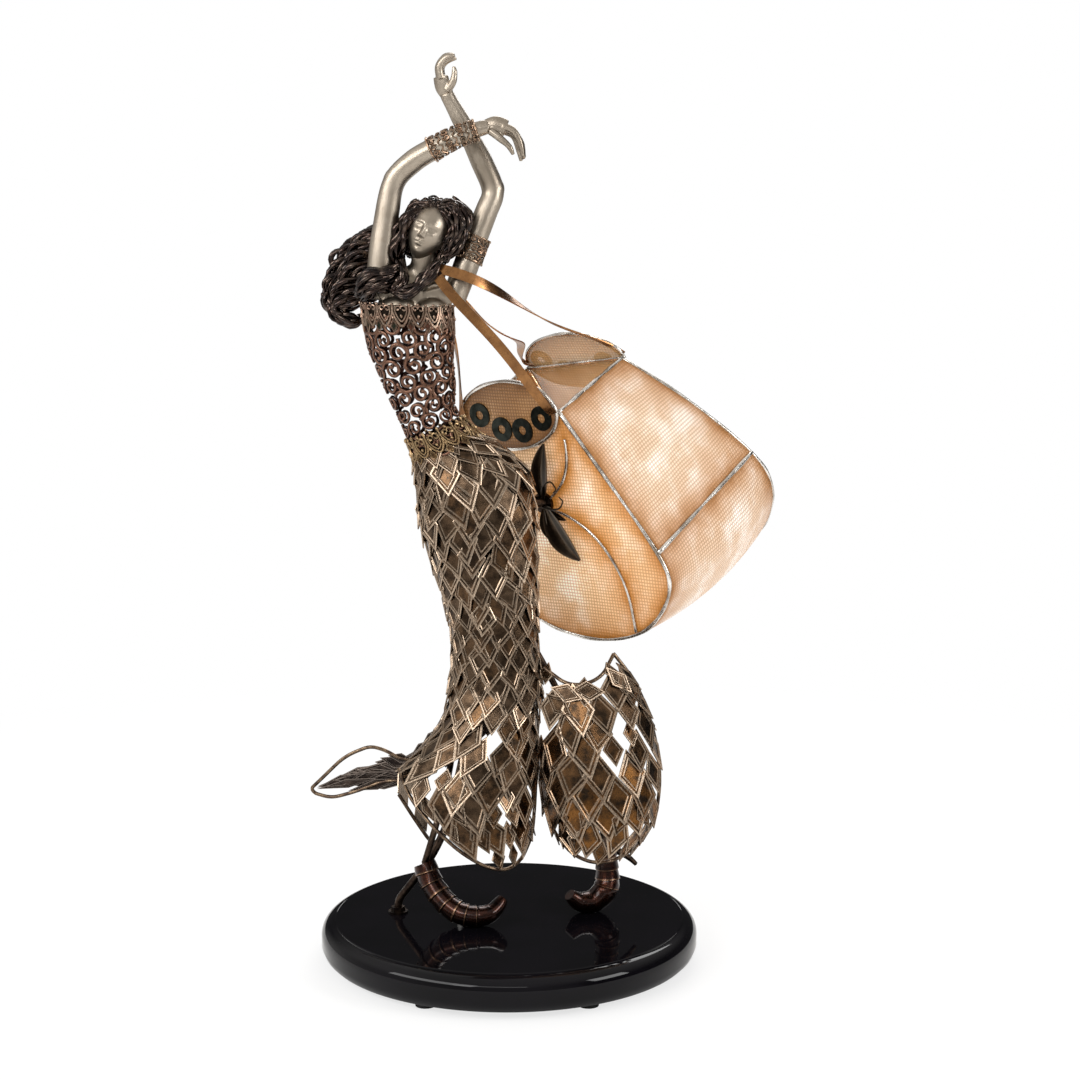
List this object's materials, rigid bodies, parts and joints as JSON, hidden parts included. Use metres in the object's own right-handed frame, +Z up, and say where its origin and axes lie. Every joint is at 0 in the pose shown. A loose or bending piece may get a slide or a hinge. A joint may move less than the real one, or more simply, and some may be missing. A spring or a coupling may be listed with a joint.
{
  "type": "figural table lamp",
  "caption": "Table lamp: metal dancing figure in plated trousers on a round base, with a wire-framed mesh bag as the lampshade, hung on flat straps.",
  "frame": {"origin": "centre of the round base, on the surface the feet stand on", "axes": "+Z up; the figure faces -Y and the shade hangs towards +X and +Y"},
  "size_m": [0.3898, 0.3657, 0.7205],
  "materials": {
    "black_lacquer": "turned wood under deep gloss black lacquer",
    "base_fibre": "matt black fibre board",
    "zinc_steel": "zinc plated steel",
    "foot_rubber": "matt black rubber",
    "boot_bronze": "dark red-brown patina, gloss lacquer",
    "dark_bronze": "dark bronze patina",
    "satin_silver": "satin antique silver",
    "trouser_plate": "pressed plates, pewter and bronze patina with bright edges",
    "lattice_copper": "cast scrollwork, red-brown copper patina",
    "band_gilt": "cast band, gilt, copper and green patina",
    "hair_bronze": "black-brown patina with rubbed highlights",
    "strap_copper": "flat copper strip, brown patina",
    "solder_wire": "steel wire flooded with bright solder",
    "resin_mesh": "woven mesh stiffened with translucent amber resin",
    "coin_iron": "blackened punched washers",
    "leaf_black": "black leaves",
    "lamp_brass": "lacquered brass",
    "phenolic": "black phenolic",
    "bulb_glass": "frosted glass",
    "cap_nickel": "nickel plated cap",
    "lead_pvc": "black insulated lead"
  },
  "bodies": {
    "figure": {"base_plinth": "black_lacquer", "base_cover": "base_fibre", "cover_screws": "zinc_steel", "rubber_feet": "foot_rubber", "foot_screws": "zinc_steel", "cord_grommet": "foot_rubber", "boot_studs": "zinc_steel", "base_nuts": "zinc_steel", "leg_tube_nut": "dark_bronze", "leg_tube": "dark_bronze", "leg_rods": "dark_bronze", "tube_union": "zinc_steel", "lamp_pipe": "dark_bronze", "supply_lead": "lead_pvc", "boot_left": "boot_bronze", "boot_right": "boot_bronze", "heel_pin_right": "dark_bronze", "hip_plate": "zinc_steel", "trouser_column": "trouser_plate", "trouser_bell_left": "trouser_plate", "trouser_bell_right": "trouser_plate", "trouser_train": "trouser_plate", "hem_wires": "dark_bronze", "bodice_lattice": "lattice_copper", "bust_band": "band_gilt", "waist_belt": "band_gilt", "chest_neck": "satin_silver", "head": "satin_silver", "arm_right": "satin_silver", "arm_left": "satin_silver", "hand_right": "satin_silver", "hand_left": "satin_silver", "wrist_cuff": "band_gilt", "armband": "band_gilt", "hair_crown": "hair_bronze", "hair_locks": "hair_bronze", "shade_rims": "solder_wire", "shade_bars": "solder_wire", "mesh_side_near": "resin_mesh", "mesh_side_far": "resin_mesh", "mesh_wrap": "resin_mesh", "flap_wires": "solder_wire", "flap_meshes": "resin_mesh", "coins": "coin_iron", "shade_scrolls": "solder_wire", "shade_bracket": "dark_bronze", "leaf_spray": "leaf_black", "strap_anchors": "dark_bronze", "strap_near": "strap_copper", "strap_far": "strap_copper", "strap_back": "strap_copper", "strap_side": "strap_copper", "socket_cap": "lamp_brass", "socket_shell": "lamp_brass", "socket_liner": "phenolic", "socket_thread": "lamp_brass", "socket_contact": "lamp_brass"},
    "switch": {"switch_knob": "phenolic"},
    "bulb": {"bulb_cap": "cap_nickel", "bulb_glass": "bulb_glass"}
  },
  "joints": [
    {"name": "switch_turn", "type": "hinge", "parent": "figure", "child": "switch", "pos_m": [0.04299, 0.04984, 0.36506], "axis": [0.1048, 0.0588, 0.9928], "continuous": true},
    {"name": "bulb_out", "type": "slide", "parent": "figure", "child": "bulb", "axis": [0.8659, 0.4855, -0.1201], "range_m": [0, 0.024]}
  ]
}
